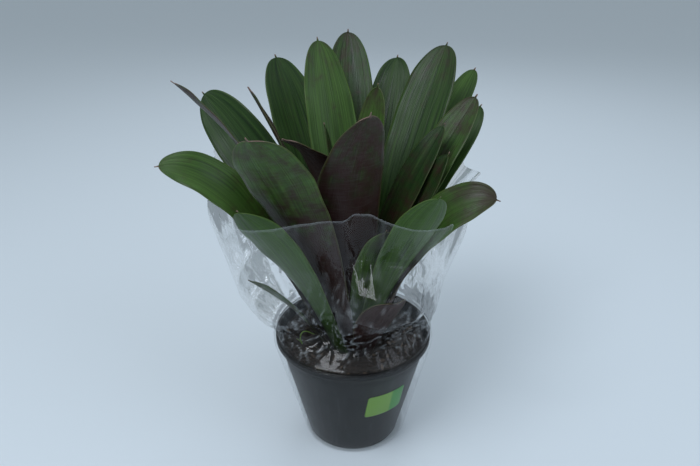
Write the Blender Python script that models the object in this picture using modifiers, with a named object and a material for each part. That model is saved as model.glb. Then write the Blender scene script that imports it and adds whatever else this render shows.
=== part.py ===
"""Potted bromeliad in a clear film sleeve, at its real size, in metres with +Z up.

The origin is the centre of the pot's flat underside and -Y is the front. Every leaf is a
separate blade that grows from a short stem. Low down each leaf lies on its own turned
surface round the stem, one leaf outside the next, so the bases wrap without touching.
Higher up it opens into a free strap with its own bend, swing, twist and cupping.
"""

from math import cos, pi, radians, sin, sqrt, tan

import bmesh
import bpy
import numpy as np
from mathutils import Matrix, Vector

GAP = 0.0003  # between pieces that touch on the real plant

# Pot
RIM_DIAMETER = 0.210
BASE_DIAMETER = 0.128
POT_HEIGHT = 0.160
POT_WALL = 0.0018
LIP_HEIGHT = 0.009
LIP_PROUD = 0.0028  # how far the lip stands out from the wall
DRAIN_HOLES = 6
DRAIN_DIAMETER = 0.012
DRAIN_CIRCLE = 0.088  # diameter of the circle that the drain holes sit on
TURNED_STEPS = 40

# Soil
SOIL_DROP = 0.011  # from the rim down to the soil
WELL_DEPTH = 0.016  # the hollow round the crown that holds the leaf bases

# Stem
STEM_DIAMETER = 0.010
STEM_HEIGHT = 0.030

# Leaves
LEAF_THICKNESS = 0.0006
LEAF_PITCH = 0.0011  # from one wrapped base to the next one out
FIRST_LEAN = 2.0  # degrees from upright at the base of the innermost leaf
LEAN_STEP = 0.9  # how much more each next leaf leans at its base
SHEATH_END = 0.04  # share of a leaf's length where it begins to leave its turned surface
BLADE_START = 0.52  # share of the length from which it is a free strap
SHEATH_SHARE = 0.52  # width of the wrapped base as a share of the blade's width
WIDEST_WRAP = 1.5  # radians to each side
POINT_LENGTH = 0.005  # the small hard point at the end of a leaf
POINT_HALF_WIDTH = 0.0013
LEAF_ROWS = 14
LEAF_COLUMNS = 6
PATH_STEPS = 60
CLOUD_FINENESS = 2  # points of a leaf's cloud for each step of its mesh

# Label
LABEL_WIDTH = 0.056
LABEL_HEIGHT = 0.040
LABEL_THICKNESS = 0.0004
LABEL_DIRECTION = 300.0
LABEL_CENTRE = 0.092  # its height up the pot

# Seedling
SEEDLING_HEIGHT = 0.020
SEEDLING_REACH = 0.017
SEEDLING_THICKNESS = 0.0016
SEEDLING_PLACE = (-0.068, -0.024)

# Film sleeve
FILM_THICKNESS = 0.0006
FILM_FLOOR = 0.003  # height of its lower edge
FILM_STAND_OFF = 0.0025  # from the pot
FILM_COLUMNS = 36
FILM_NECK = 0.052  # radius of the pinched neck at the front
FILM_REACH = 0.024  # how far to each side the film feels a leaf
LEAF_CLEARANCE = 0.007  # between a leaf and the film
NECK_KNOT = 4
OVER_MOUTH = (19, 24)  # the leaves that lie over the sleeve's mouth

# One row for each leaf, from the youngest in the middle to the oldest outside:
# direction (degrees, 0 to the right, 90 to the back, 270 to the front), length and width
# (metres), lean from upright at the tip (degrees), how late it bends (1 even, 2 late),
# swing (degrees the tip turns round towards), twist and tip curl (degrees), cupping
# (degrees to each side) and where it is widest (share of its length)
LEAVES = [
    (168, 0.312, 0.026, 9, 1.0, 0, 0, 0, 30, 0.55),  # young, narrow and pointed
    (50, 0.353, 0.048, 10, 1.0, 0, 0, 0, 20, 0.70),  # light green, near the middle
    (220, 0.338, 0.064, 21, 1.2, 0, 5, 40, 16, 0.74),  # folded, its end hanging over
    (112, 0.411, 0.068, 28, 1.0, 0, 0, 0, 18, 0.66),  # tall, behind the middle
    (158, 0.369, 0.030, 33, 0.8, 0, 30, 0, 34, 0.60),  # narrow, turned edge-on
    (27, 0.322, 0.048, 38, 1.0, 0, 12, 0, 18, 0.64),  # dark, to the right
    (259, 0.374, 0.082, 27, 1.0, 40, 0, 0, 15, 0.58),  # the large one at the front
    (333, 0.244, 0.042, 31, 1.0, 0, 0, 0, 20, 0.62),  # dark, low on the right
    (166, 0.425, 0.042, 58, 1.0, -8, 45, 0, 16, 0.55),  # long, turned edge-on
    (92, 0.432, 0.066, 38, 1.0, 0, 0, 0, 18, 0.70),  # the tallest, at the back
    (12, 0.290, 0.044, 32, 1.0, 0, 15, 0, 18, 0.62),  # short, to the right
    (294, 0.226, 0.052, 26, 1.0, 0, 0, 0, 16, 0.70),  # short, at the front right
    (124, 0.404, 0.076, 38, 1.0, 0, 0, 0, 16, 0.72),  # tall, back left
    (30, 0.367, 0.056, 41, 1.0, 0, 18, 0, 18, 0.68),  # leans far to the right
    (236, 0.379, 0.080, 36, 1.0, 0, 22, 0, 15, 0.76),  # broad, front left
    (307, 0.298, 0.058, 35, 1.0, 0, -22, 0, 16, 0.70),  # inside the film, front right
    (53, 0.425, 0.076, 38, 1.0, 0, 0, 0, 15, 0.74),  # broad, back right
    (146, 0.394, 0.074, 54, 1.0, 0, -66, 0, 16, 0.74),  # broad, far left
    (40, 0.368, 0.052, 53, 1.0, 0, 30, 0, 18, 0.72),  # far right, upright
    (346, 0.296, 0.062, 112, 5.0, 0, 45, 0, 16, 0.66),  # arches over the mouth on the right
    (225, 0.293, 0.064, 39, 1.0, 0, 25, 0, 16, 0.68),  # inside the film, front left
    (111, 0.396, 0.054, 48, 1.0, 0, 0, 0, 18, 0.72),  # half hidden, back left
    (74, 0.410, 0.066, 41, 1.0, 0, 0, 0, 18, 0.72),  # back, right of the middle
    (52, 0.430, 0.044, 56, 1.0, 0, 10, 0, 18, 0.74),  # half hidden, back right
    (186, 0.354, 0.056, 104, 4.5, 0, -45, 0, 16, 0.70),  # arches over the mouth on the left
    (136, 0.332, 0.054, 58, 1.0, 0, -20, 0, 18, 0.72),  # half hidden, far left
    (290, 0.182, 0.056, 42, 1.0, 0, 0, 15, 20, 0.60),  # bends forward over the soil
    (200, 0.165, 0.036, 51, 1.0, 0, 30, 0, 20, 0.60),  # short and narrow, low on the left
    (78, 0.250, 0.050, 60, 1.0, 0, 0, 0, 18, 0.70),  # hidden at the back
    (105, 0.250, 0.050, 64, 1.0, 0, 0, 0, 18, 0.70),  # hidden at the back, left
]

ROOT = bpy.context.scene.collection


def clear_scene():
    for found in list(bpy.data.objects):
        bpy.data.objects.remove(found, do_unlink=True)


def new_collection(name):
    made = bpy.data.collections.new(name)
    ROOT.children.link(made)
    return made


def material(name, colour, roughness):
    made = bpy.data.materials.new(name)
    made.use_nodes = True
    shader = made.node_tree.nodes["Principled BSDF"]
    shader.inputs["Base Color"].default_value = (*colour, 1.0)
    shader.inputs["Roughness"].default_value = roughness
    shader.inputs["Metallic"].default_value = 0.0
    made.diffuse_color = (*colour, 1.0)
    return made


def place(name, data, collection, finish=None):
    made = bpy.data.objects.new(name, data)
    collection.objects.link(made)
    if finish is not None:
        data.materials.append(finish)
    return made


def smooth_step(low, high, value):
    share = min(1.0, max(0.0, (value - low) / (high - low)))
    return share * share * (3.0 - 2.0 * share)


def shade_round(mesh, sharp_degrees=40.0):
    mesh.shade_smooth()
    mesh.set_sharp_from_angle(angle=radians(sharp_degrees))


# ---------------------------------------------------------------- turned pieces


def turned(name, profile, collection, finish, steps=TURNED_STEPS):
    """A solid of revolution. The profile lists (radius, height) from the top of its inner
    side or its axis, down its outer side, to the axis at the bottom."""
    mesh = bpy.data.meshes.new(name)
    points = [(radius, 0.0, height) for radius, height in profile]
    edges = [(i, i + 1) for i in range(len(points) - 1)]
    mesh.from_pydata(points, edges, [])
    made = place(name, mesh, collection, finish)
    screw = made.modifiers.new("turn", "SCREW")
    screw.steps = steps
    screw.render_steps = steps
    screw.use_merge_vertices = True
    screw.merge_threshold = 0.0001
    screw.use_smooth_shade = True
    return made


def outer_wall_radius(height):
    """Radius of the pot's tapered outer wall, under its lip."""
    top = RIM_DIAMETER / 2 - LIP_PROUD
    return BASE_DIAMETER / 2 + (top - BASE_DIAMETER / 2) * height / POT_HEIGHT


def inner_wall_radius(height):
    return outer_wall_radius(height) - POT_WALL


def soil_top():
    return POT_HEIGHT - SOIL_DROP


def well_floor():
    return soil_top() - WELL_DEPTH


def make_pot(collection, cutters):
    wall, lip = POT_WALL, LIP_PROUD
    rim = RIM_DIAMETER / 2
    lip_foot = POT_HEIGHT - LIP_HEIGHT
    corner = 0.004
    base = BASE_DIAMETER / 2
    profile = [
        (0.0, wall),
        (inner_wall_radius(wall) - corner, wall),
        (inner_wall_radius(wall + corner), wall + corner),
        (inner_wall_radius(POT_HEIGHT - lip), POT_HEIGHT - lip),
        (rim - lip - wall * 0.4, POT_HEIGHT - lip * 0.3),
        (rim - lip * 0.6, POT_HEIGHT),
        (rim - lip * 0.15, POT_HEIGHT - lip * 0.4),
        (rim, POT_HEIGHT - lip * 1.2),
        (rim - lip * 0.1, lip_foot),
        (outer_wall_radius(lip_foot), lip_foot),
        (outer_wall_radius(corner), corner),
        (base - corner * 0.25, corner * 0.25),
        (base - corner, 0.0),
        (0.0, 0.0),
    ]
    pot = turned("pot", profile, collection, material("pot black plastic", (0.02, 0.02, 0.022), 0.4))
    for index in range(DRAIN_HOLES):
        angle = 2 * pi * (index + 0.5) / DRAIN_HOLES
        mesh = bpy.data.meshes.new("drain cutter")
        shape = bmesh.new()
        bmesh.ops.create_cone(
            shape,
            cap_ends=True,
            segments=16,
            radius1=DRAIN_DIAMETER / 2,
            radius2=DRAIN_DIAMETER / 2,
            depth=wall * 4,
            matrix=Matrix.Translation(
                (DRAIN_CIRCLE / 2 * cos(angle), DRAIN_CIRCLE / 2 * sin(angle), wall / 2)
            ),
        )
        shape.to_mesh(mesh)
        shape.free()
        cutter = place(f"drain_cutter_{index + 1}", mesh, cutters)
        cutter.hide_render = True
        cutter.display_type = "WIRE"
        cut = pot.modifiers.new(f"drain {index + 1}", "BOOLEAN")
        cut.operation = "DIFFERENCE"
        cut.solver = "EXACT"
        cut.object = cutter
    return pot


def crown_radius():
    """Outside of the outermost leaf's base."""
    return leaf_base_radius(len(LEAVES) - 1) + LEAF_THICKNESS


def make_soil(collection):
    top, floor = soil_top(), POT_WALL + GAP
    well = crown_radius() + 0.002
    last_lean = radians(FIRST_LEAN + LEAN_STEP * len(LEAVES))
    corner = 0.004
    profile = [
        (0.0, well_floor()),
        (well, well_floor()),
        (well + WELL_DEPTH * tan(last_lean) + 0.004, top),
        (inner_wall_radius(top) - GAP - 0.006, top - 0.001),
        (inner_wall_radius(top - 0.003) - GAP, top - 0.003),
        (inner_wall_radius(floor + corner) - GAP, floor + corner),
        (inner_wall_radius(floor) - GAP - corner, floor),
        (0.0, floor),
    ]
    return turned("soil", profile, collection, material("bark and peat mix", (0.035, 0.022, 0.014), 0.95))


def make_stem(collection):
    foot = well_floor() + GAP
    radius = STEM_DIAMETER / 2
    profile = [
        (0.0, foot + STEM_HEIGHT),
        (radius * 0.45, foot + STEM_HEIGHT * 0.93),
        (radius * 0.8, foot + STEM_HEIGHT * 0.7),
        (radius, foot + STEM_HEIGHT * 0.35),
        (radius, foot),
        (0.0, foot),
    ]
    return turned("stem", profile, collection, material("stem", (0.20, 0.24, 0.10), 0.6), steps=16)


# ---------------------------------------------------------------- leaves


def leaf_base_radius(index):
    return STEM_DIAMETER / 2 + GAP + LEAF_THICKNESS + index * LEAF_PITCH


def half_width(share, length, width, widest):
    """Half the blade's width at a share of its length: a sheath, a belly and a rounded end
    that closes in a small point."""
    full = width / 2
    end = 1.0 - POINT_LENGTH / length
    if share < widest:
        rise = smooth_step(0.0, widest, share)
        return full * (SHEATH_SHARE + (1.0 - SHEATH_SHARE) * rise)
    along = min(1.0, (share - widest) / (end - widest))
    body = full * sqrt(max(0.0, 1.0 - along**2.6))
    point = POINT_HALF_WIDTH * min(1.0, 0.2 + 0.8 * (1.0 - share) / (1.0 - end))
    return max(body, point)


def leaf_path(index, row):
    """The midrib as a list of (upright point, free point, tangent, across) along the leaf.
    The upright points stay in the leaf's own vertical plane and the free ones swing."""
    direction, length, _, lean, late, swing, twist, curl, _, _ = row
    first = FIRST_LEAN + LEAN_STEP * index
    radius, height = leaf_base_radius(index), well_floor() + GAP
    heading = radians(direction)
    free = Vector((radius * cos(heading), radius * sin(heading), height))
    step = length / PATH_STEPS
    stations = []
    for count in range(PATH_STEPS + 1):
        share = count / PATH_STEPS
        angle = first + (lean - first) * share**late + curl * smooth_step(0.72, 1.0, share)
        turned_by = heading + radians(swing) * smooth_step(0.15, 1.0, share)
        tilt = radians(angle)
        tangent = Vector(
            (sin(tilt) * cos(turned_by), sin(tilt) * sin(turned_by), cos(tilt))
        )
        across = Vector((-sin(turned_by), cos(turned_by), 0.0))
        stations.append((radius, height, free.copy(), tangent, across, share))
        radius += step * sin(tilt)
        height += step * cos(tilt)
        free += step * tangent
    return stations


def between(stations, share):
    """The station at a share of the length, mixed from its two neighbours."""
    place_along = min(share, 1.0) * (len(stations) - 1)
    low = min(int(place_along), len(stations) - 2)
    mix = place_along - low
    first, second = stations[low], stations[low + 1]
    mixed = [a + (b - a) * mix for a, b in zip(first, second)]
    return (*mixed[:3], mixed[3].normalized(), mixed[4].normalized(), share)


def leaf_point(row, stations, side, share):
    """A point of the blade: side runs from -1 to 1 across it and share from 0 to 1 along."""
    direction, length, width, _, _, _, twist, _, cup, widest = row
    radius, height, free, tangent, across, _ = between(stations, share)
    half = half_width(share, length, width, widest)
    wrap = min(half / radius, WIDEST_WRAP) * side + radians(direction)
    wrapped = Vector((radius * cos(wrap), radius * sin(wrap), height))
    turn = Matrix.Rotation(radians(twist) * smooth_step(0.25, 0.95, share), 3, tangent)
    sideways = turn @ across
    inward = tangent.cross(sideways)
    bow = max(radians(cup), half / radius)
    reach = half / bow
    strap = free + sideways * (reach * sin(bow * side)) + inward * (reach * (1 - cos(bow * side)))
    return wrapped.lerp(strap, smooth_step(SHEATH_END, BLADE_START, share))


def share_along(value, length):
    """Spreads the rows along a leaf, closer together near its rounded end. The last row but
    one ends the blade and the last one ends the point."""
    end = 1.0 - POINT_LENGTH / length
    rows = value * LEAF_ROWS / (LEAF_ROWS - 1)
    if rows < 1.0:
        return end * (1.0 - (1.0 - rows) ** 1.8)
    return end + (1.0 - end) * (rows - 1.0) * (LEAF_ROWS - 1)


def blade_grid(index, row):
    """Points of the blade's middle surface, by row and column."""
    stations = leaf_path(index, row)
    shares = [share_along(step / LEAF_ROWS, row[1]) for step in range(LEAF_ROWS + 1)]
    sides = [2 * step / LEAF_COLUMNS - 1 for step in range(LEAF_COLUMNS + 1)]
    return np.array([[leaf_point(row, stations, side, share) for side in sides] for share in shares])


def refined(grid, count):
    """The same surface with count times as many rows and columns."""
    for axis in (0, 1):
        steps = np.linspace(0, grid.shape[axis] - 1, (grid.shape[axis] - 1) * count + 1)
        low = np.minimum(steps.astype(int), grid.shape[axis] - 2)
        mix = (steps - low).reshape((-1, 1, 1) if axis == 0 else (1, -1, 1))
        grid = np.take(grid, low, axis) * (1 - mix) + np.take(grid, low + 1, axis) * mix
    return grid


def make_leaf(index, grid, collection, finish):
    shape = bmesh.new()
    bmesh.ops.create_grid(shape, x_segments=LEAF_COLUMNS, y_segments=LEAF_ROWS, size=1.0)
    for vertex in shape.verts:
        row = round((vertex.co.y / 2 + 0.5) * LEAF_ROWS)
        column = round((vertex.co.x / 2 + 0.5) * LEAF_COLUMNS)
        vertex.co = grid[row, column]
    mesh = bpy.data.meshes.new("leaf")
    shape.to_mesh(mesh)
    shape.free()
    shade_round(mesh, 60.0)
    leaf = place(f"leaf_{index + 1:02d}", mesh, collection, finish)
    skin = leaf.modifiers.new("thickness", "SOLIDIFY")
    skin.thickness = LEAF_THICKNESS
    skin.offset = 0.0
    skin.use_even_offset = False
    return leaf


def make_leaves(grids, collection):
    green = material("leaf green", (0.05, 0.14, 0.04), 0.35)
    for index, grid in enumerate(grids):
        make_leaf(index, grid, collection, green)


# ---------------------------------------------------------------- label and seedling


def make_label(collection):
    shape = bmesh.new()
    bmesh.ops.create_grid(shape, x_segments=8, y_segments=2, size=1.0)
    for vertex in shape.verts:
        height = LABEL_CENTRE + vertex.co.y * LABEL_HEIGHT / 2
        radius = outer_wall_radius(height) + GAP + LABEL_THICKNESS / 2
        angle = radians(LABEL_DIRECTION) + vertex.co.x * LABEL_WIDTH / 2 / radius
        vertex.co = Vector((radius * cos(angle), radius * sin(angle), height))
    mesh = bpy.data.meshes.new("label")
    shape.to_mesh(mesh)
    shape.free()
    label = place("pot_label", mesh, collection, material("label paper", (0.25, 0.55, 0.08), 0.4))
    skin = label.modifiers.new("thickness", "SOLIDIFY")
    skin.thickness = LABEL_THICKNESS
    skin.offset = 0.0
    return label


def make_seedling(collection):
    curve = bpy.data.curves.new("seedling", "CURVE")
    curve.dimensions = "3D"
    curve.bevel_depth = SEEDLING_THICKNESS / 2
    curve.bevel_resolution = 2
    curve.use_fill_caps = True
    curve.resolution_u = 6
    spline = curve.splines.new("BEZIER")
    x, y = SEEDLING_PLACE
    foot = soil_top() + GAP
    points = [
        (x, y, foot),
        (x - 0.002, y, foot + SEEDLING_HEIGHT * 0.6),
        (x + 0.003, y, foot + SEEDLING_HEIGHT),
        (x + SEEDLING_REACH, y - 0.002, foot + SEEDLING_HEIGHT * 0.85),
    ]
    spline.bezier_points.add(len(points) - 1)
    for knot, point in zip(spline.bezier_points, points):
        knot.co = point
        knot.handle_left_type = "AUTO"
        knot.handle_right_type = "AUTO"
    return place("seedling", curve, collection, material("seedling", (0.15, 0.35, 0.06), 0.5))


# ---------------------------------------------------------------- film sleeve


def film_knots():
    """The sleeve's outline from its lower edge to its mouth. Each knot has the radii and
    then the heights at the right, back, left and front, and the rows up to the next one."""
    rim = RIM_DIAMETER / 2 + FILM_STAND_OFF
    foot = outer_wall_radius(FILM_FLOOR) + FILM_STAND_OFF
    neck = FILM_NECK
    top = POT_HEIGHT
    return [
        ((foot + 0.008, foot + 0.006, foot + 0.002, foot + 0.002), (FILM_FLOOR,) * 4, 2),
        ((rim, rim, rim, rim), (top - LIP_HEIGHT,) * 4, 1),
        ((rim, rim, rim, rim), (top,) * 4, 1),
        ((rim - 0.004, rim - 0.003, rim - 0.005, rim - 0.006), (top + FILM_STAND_OFF,) * 4, 2),
        ((rim - 0.004, rim - 0.002, rim - 0.002, neck), (0.178, 0.178, 0.172, 0.200), 1),
        ((0.112, 0.120, 0.128, 0.078), (0.215, 0.215, 0.198, 0.225), 2),
        ((0.118, 0.135, 0.150, 0.090), (0.260, 0.260, 0.240, 0.290), 3),
        ((0.142, 0.160, 0.178, 0.104), (0.350, 0.360, 0.368, 0.376), 0),
    ]


def film_rows(knots):
    """Each row of the sleeve's mesh as the knot below it and the share of the way up."""
    rows = [
        (low, step / knot[2]) for low, knot in enumerate(knots[:-1]) for step in range(knot[2])
    ]
    return [*rows, (len(knots) - 2, 1.0)]


def round_value(values, angle):
    """Mixes the right, back, left and front values by direction."""
    right, back, left, front = values
    across, along = cos(angle), sin(angle)
    return (
        (right if across > 0 else left) * across * across
        + (back if along > 0 else front) * along * along
    )


def film_target(knots, angle, row):
    """Radius and height of the sleeve as it would hang with no leaf against it."""
    low, mix = row
    radius = [round_value(knots[low + step][0], angle) for step in (0, 1)]
    height = [round_value(knots[low + step][1], angle) for step in (0, 1)]
    return radius[0] + (radius[1] - radius[0]) * mix, height[0] + (height[1] - height[0]) * mix


def leaf_clouds(grids):
    """Points all over the leaves as rows of direction, radius and height, first for the
    leaves inside the sleeve and then for those that lie over its mouth."""
    clouds = {True: [], False: []}
    for index, grid in enumerate(grids):
        x, y, z = refined(grid, CLOUD_FINENESS).reshape(-1, 3).T
        clouds[index in OVER_MOUTH].append(np.column_stack([np.arctan2(y, x), np.hypot(x, y), z]))
    return np.concatenate(clouds[False]), np.concatenate(clouds[True])


def near_in_direction(cloud, angle, reach):
    """Which points of the cloud lie within a sideways reach of this direction."""
    apart = (cloud[:, 0] - angle + pi) % (2 * pi) - pi
    return np.abs(apart) * cloud[:, 1] < reach


def film_point(knots, clouds, angle, row):
    """The sleeve where it hangs, pushed out by the leaves inside it and with its mouth
    kept under the leaves that lie over it."""
    inside, over = clouds
    radius, height = film_target(knots, angle, row)
    mouth_radius, mouth = film_target(knots, angle, (len(knots) - 2, 1.0))
    neck = film_target(knots, angle, (NECK_KNOT, 0.0))[1]
    above = over[near_in_direction(over, angle, FILM_REACH) & (over[:, 1] > mouth_radius * 0.85)]
    if len(above) and row[0] >= NECK_KNOT:
        lowered = min(mouth, above[:, 2].min() - LEAF_CLEARANCE)
        height = neck + (height - neck) * (lowered - neck) / (mouth - neck)
    if height > POT_HEIGHT + LEAF_CLEARANCE:
        beside = inside[
            near_in_direction(inside, angle, FILM_REACH)
            & (np.abs(inside[:, 2] - height) < FILM_REACH)
        ]
        if len(beside):
            radius = max(radius, beside[:, 1].max() + LEAF_CLEARANCE)
    return Vector((radius * cos(angle), radius * sin(angle), height))


def make_film(grids, collection):
    knots = film_knots()
    clouds = leaf_clouds(grids)
    rows = film_rows(knots)
    shape = bmesh.new()
    bmesh.ops.create_grid(shape, x_segments=FILM_COLUMNS, y_segments=len(rows) - 1, size=1.0)
    for vertex in shape.verts:
        angle = (vertex.co.x + 1.0) * pi
        row = rows[round((vertex.co.y / 2 + 0.5) * (len(rows) - 1))]
        vertex.co = film_point(knots, clouds, angle, row)
    bmesh.ops.remove_doubles(shape, verts=shape.verts, dist=0.00001)
    mesh = bpy.data.meshes.new("film")
    shape.to_mesh(mesh)
    shape.free()
    shade_round(mesh)
    film = place("film_sleeve", mesh, collection, material("clear film", (0.8, 0.85, 0.88), 0.1))
    skin = film.modifiers.new("thickness", "SOLIDIFY")
    skin.thickness = FILM_THICKNESS
    skin.offset = 0.0
    return film


def main():
    clear_scene()
    plant = new_collection("potted_bromeliad")
    cutters = new_collection("cutters")
    make_pot(plant, cutters)
    make_soil(plant)
    make_stem(plant)
    grids = [blade_grid(index, row) for index, row in enumerate(LEAVES)]
    make_leaves(grids, plant)
    make_label(plant)
    make_seedling(plant)
    make_film(grids, plant)


main()
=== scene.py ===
"""Potted bromeliad in a clear film sleeve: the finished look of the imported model.

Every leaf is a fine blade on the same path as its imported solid, with its own mix of green
and wine colour. The pot, the soil with its bark, the seedling, the label and the crumpled
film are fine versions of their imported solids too.
"""

from math import atan2, cos, hypot, pi, radians, sin, sqrt, tan

import bmesh
import bpy
import numpy as np
from mathutils import Matrix, Vector, noise


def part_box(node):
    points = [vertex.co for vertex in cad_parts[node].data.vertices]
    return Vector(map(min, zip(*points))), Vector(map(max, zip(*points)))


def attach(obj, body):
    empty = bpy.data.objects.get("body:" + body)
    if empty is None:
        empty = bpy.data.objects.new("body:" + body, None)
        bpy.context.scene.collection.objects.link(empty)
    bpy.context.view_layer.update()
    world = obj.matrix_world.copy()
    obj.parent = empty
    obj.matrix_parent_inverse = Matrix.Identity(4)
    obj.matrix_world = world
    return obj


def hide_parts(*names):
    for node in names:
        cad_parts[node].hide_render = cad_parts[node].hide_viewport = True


bl_info = {
    "name": "Potted bromeliad",
    "version": (1, 0, 0),
    "blender": (4, 5, 0),
    "location": "View3D > Sidebar > Bromeliad",
    "description": "Builds the leaves, pot, soil, film sleeve and studio of a potted bromeliad",
    "category": "Object",
}

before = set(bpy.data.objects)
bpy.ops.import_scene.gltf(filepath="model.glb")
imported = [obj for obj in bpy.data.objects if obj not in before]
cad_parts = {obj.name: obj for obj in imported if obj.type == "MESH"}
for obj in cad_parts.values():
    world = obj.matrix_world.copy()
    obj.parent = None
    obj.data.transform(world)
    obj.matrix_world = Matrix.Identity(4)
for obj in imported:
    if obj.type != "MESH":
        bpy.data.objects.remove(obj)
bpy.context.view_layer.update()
BODY = "root"

GAP = 0.0003  # between pieces that touch on the real plant

# Pot, as packed
POT_LOW, POT_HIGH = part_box("pot")
POT_HEIGHT = POT_HIGH[2]
BASE_DIAMETER = 0.128
POT_WALL = 0.0018
LIP_HEIGHT = 0.009
LIP_PROUD = 0.0028  # how far the lip stands out from the wall
DRAIN_HOLES = 6
DRAIN_DIAMETER = 0.012
DRAIN_CIRCLE = 0.088  # diameter of the circle that the drain holes sit on

# Soil, as packed
SOIL_DROP = 0.011  # from the rim down to the soil
WELL_DEPTH = 0.016  # the hollow round the crown that holds the leaf bases

# Label, as packed but thinner, with its corners rounded
LABEL_WIDTH = 0.056
LABEL_HEIGHT = 0.040
LABEL_CORNER = 0.004
LABEL_CENTRE = 0.092  # its height up the pot
LABEL_DIRECTION = 300.0
LABEL_THICKNESS = 0.0002

# Seedling, as packed
SEEDLING_PLACE = (-0.068, -0.024)
SEEDLING_HEIGHT = 0.020
SEEDLING_REACH = 0.017
SEEDLING_RADIUS = 0.0008

# Leaves, as packed
STEM_DIAMETER = 0.010
LEAF_THICKNESS = 0.0006
LEAF_PITCH = 0.0011  # from one wrapped base to the next one out
FIRST_LEAN = 2.0  # degrees from upright at the base of the innermost leaf
LEAN_STEP = 0.9  # how much more each next leaf leans at its base
SHEATH_END = 0.04  # share of a leaf's length where it begins to leave its turned surface
BLADE_START = 0.52  # share of the length from which it is a free strap
SHEATH_SHARE = 0.52  # width of the wrapped base as a share of the blade's width
WIDEST_WRAP = 1.5  # radians to each side
POINT_LENGTH = 0.005  # the small hard point at the end of a leaf
POINT_HALF_WIDTH = 0.0013
PATH_STEPS = 60

# One row for each leaf, from the youngest in the middle to the oldest outside:
# direction (degrees, 0 to the right, 90 to the back, 270 to the front), length and width
# (metres), lean from upright at the tip (degrees), how late it bends (1 even, 2 late),
# swing (degrees the tip turns round towards), twist and tip curl (degrees), cupping
# (degrees to each side) and where it is widest (share of its length)
LEAVES = [
    (168, 0.312, 0.026, 9, 1.0, 0, 0, 0, 30, 0.55),  # young, narrow and pointed
    (50, 0.353, 0.048, 10, 1.0, 0, 0, 0, 20, 0.70),  # light green, near the middle
    (220, 0.338, 0.064, 21, 1.2, 0, 5, 40, 16, 0.74),  # folded, its end hanging over
    (112, 0.411, 0.068, 28, 1.0, 0, 0, 0, 18, 0.66),  # tall, behind the middle
    (158, 0.369, 0.030, 33, 0.8, 0, 30, 0, 34, 0.60),  # narrow, turned edge-on
    (27, 0.322, 0.048, 38, 1.0, 0, 12, 0, 18, 0.64),  # dark, to the right
    (259, 0.374, 0.082, 27, 1.0, 40, 0, 0, 15, 0.58),  # the large one at the front
    (333, 0.244, 0.042, 31, 1.0, 0, 0, 0, 20, 0.62),  # dark, low on the right
    (166, 0.425, 0.042, 58, 1.0, -8, 45, 0, 16, 0.55),  # long, turned edge-on
    (92, 0.432, 0.066, 38, 1.0, 0, 0, 0, 18, 0.70),  # the tallest, at the back
    (12, 0.290, 0.044, 32, 1.0, 0, 15, 0, 18, 0.62),  # short, to the right
    (294, 0.226, 0.052, 26, 1.0, 0, 0, 0, 16, 0.70),  # short, at the front right
    (124, 0.404, 0.076, 38, 1.0, 0, 0, 0, 16, 0.72),  # tall, back left
    (30, 0.367, 0.056, 41, 1.0, 0, 18, 0, 18, 0.68),  # leans far to the right
    (236, 0.379, 0.080, 36, 1.0, 0, 22, 0, 15, 0.76),  # broad, front left
    (307, 0.298, 0.058, 35, 1.0, 0, -22, 0, 16, 0.70),  # inside the film, front right
    (53, 0.425, 0.076, 38, 1.0, 0, 0, 0, 15, 0.74),  # broad, back right
    (146, 0.394, 0.074, 54, 1.0, 0, -66, 0, 16, 0.74),  # broad, far left
    (40, 0.368, 0.052, 53, 1.0, 0, 30, 0, 18, 0.72),  # far right, upright
    (346, 0.296, 0.062, 112, 5.0, 0, 45, 0, 16, 0.66),  # arches over the mouth on the right
    (225, 0.293, 0.064, 39, 1.0, 0, 25, 0, 16, 0.68),  # inside the film, front left
    (111, 0.396, 0.054, 48, 1.0, 0, 0, 0, 18, 0.72),  # half hidden, back left
    (74, 0.410, 0.066, 41, 1.0, 0, 0, 0, 18, 0.72),  # back, right of the middle
    (52, 0.430, 0.044, 56, 1.0, 0, 10, 0, 18, 0.74),  # half hidden, back right
    (186, 0.354, 0.056, 104, 4.5, 0, -45, 0, 16, 0.70),  # arches over the mouth on the left
    (136, 0.332, 0.054, 58, 1.0, 0, -20, 0, 18, 0.72),  # half hidden, far left
    (290, 0.182, 0.056, 42, 1.0, 0, 0, 15, 20, 0.60),  # bends forward over the soil
    (200, 0.165, 0.036, 51, 1.0, 0, 30, 0, 20, 0.60),  # short and narrow, low on the left
    (78, 0.250, 0.050, 60, 1.0, 0, 0, 0, 18, 0.70),  # hidden at the back
    (105, 0.250, 0.050, 64, 1.0, 0, 0, 0, 18, 0.70),  # hidden at the back, left
]

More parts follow.
